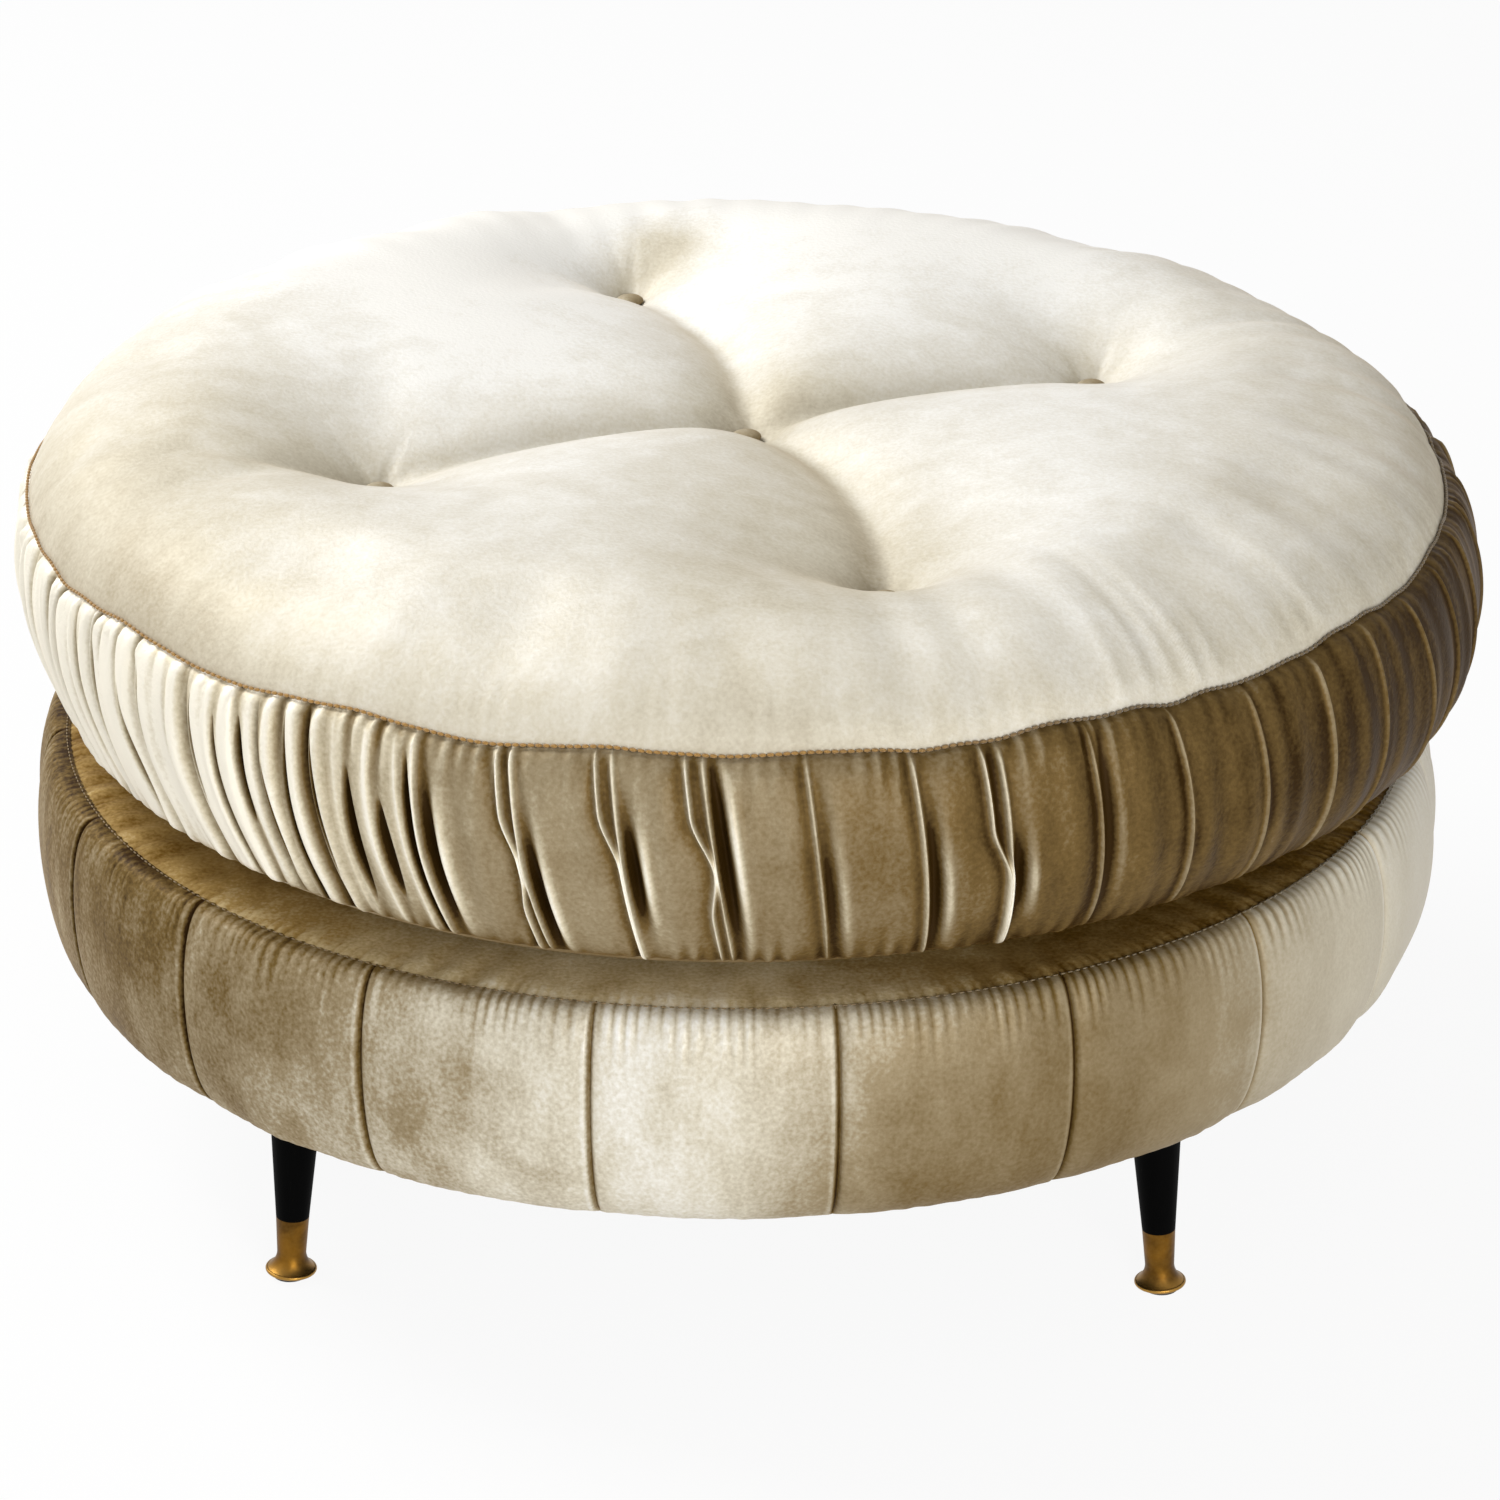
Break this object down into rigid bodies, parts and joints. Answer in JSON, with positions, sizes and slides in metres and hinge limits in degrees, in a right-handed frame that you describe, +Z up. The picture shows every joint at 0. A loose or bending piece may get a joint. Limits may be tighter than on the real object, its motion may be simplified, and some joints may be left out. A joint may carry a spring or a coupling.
{
  "type": "pouf",
  "caption": "Round velvet pouf: a channel-quilted drum on splayed black legs with brass ferrules, and a loose button-tufted cushion with a pleated side band.",
  "frame": {"origin": "on the floor, under the middle of the pouf", "axes": "+Z up, -Y towards the front, +X to the right seen from the front; the legs stand on the diagonals"},
  "size_m": [0.9004, 0.9004, 0.4812],
  "materials": {
    "velvet": "satin",
    "foam": "matte",
    "wadding": "matte",
    "plywood": "matte",
    "webbing": "matte",
    "dust_cloth": "matte",
    "black_lacquer": "satin",
    "aged_brass": "satin",
    "zinc_steel": "satin",
    "nylon": "matte",
    "twine": "matte"
  },
  "bodies": {
    "base": {"bottom_board": "plywood", "frame_posts": "plywood", "top_ring": "plywood", "frame_screws": "zinc_steel", "side_hoop": "plywood", "webbing_front_to_back": "webbing", "webbing_side_to_side": "webbing", "deck_pad": "foam", "side_pad": "foam", "base_side_cover": "velvet", "base_top_cover": "velvet", "dust_cover": "dust_cloth", "leg_plates": "zinc_steel", "leg_plate_screws": "zinc_steel", "leg_bolts": "zinc_steel", "leg_rear_right": "black_lacquer", "ferrule_rear_right": "aged_brass", "floor_glide_rear_right": "nylon", "leg_rear_left": "black_lacquer", "ferrule_rear_left": "aged_brass", "floor_glide_rear_left": "nylon", "leg_front_left": "black_lacquer", "ferrule_front_left": "aged_brass", "floor_glide_front_left": "nylon", "leg_front_right": "black_lacquer", "ferrule_front_right": "aged_brass", "floor_glide_front_right": "nylon"},
    "cushion": {"cushion_core": "foam", "cushion_side_wadding": "wadding", "cushion_top_wadding": "wadding", "cushion_bottom_wadding": "wadding", "cushion_boxing": "velvet", "cushion_top_cover": "velvet", "cushion_bottom_cover": "velvet", "tuft_buttons": "velvet", "underside_buttons": "velvet", "tufting_twine": "twine"}
  },
  "joints": [
    {"name": "cushion_lift", "type": "slide", "parent": "base", "child": "cushion", "axis": [0, 0, 1], "range_m": [0, 0.25]}
  ]
}
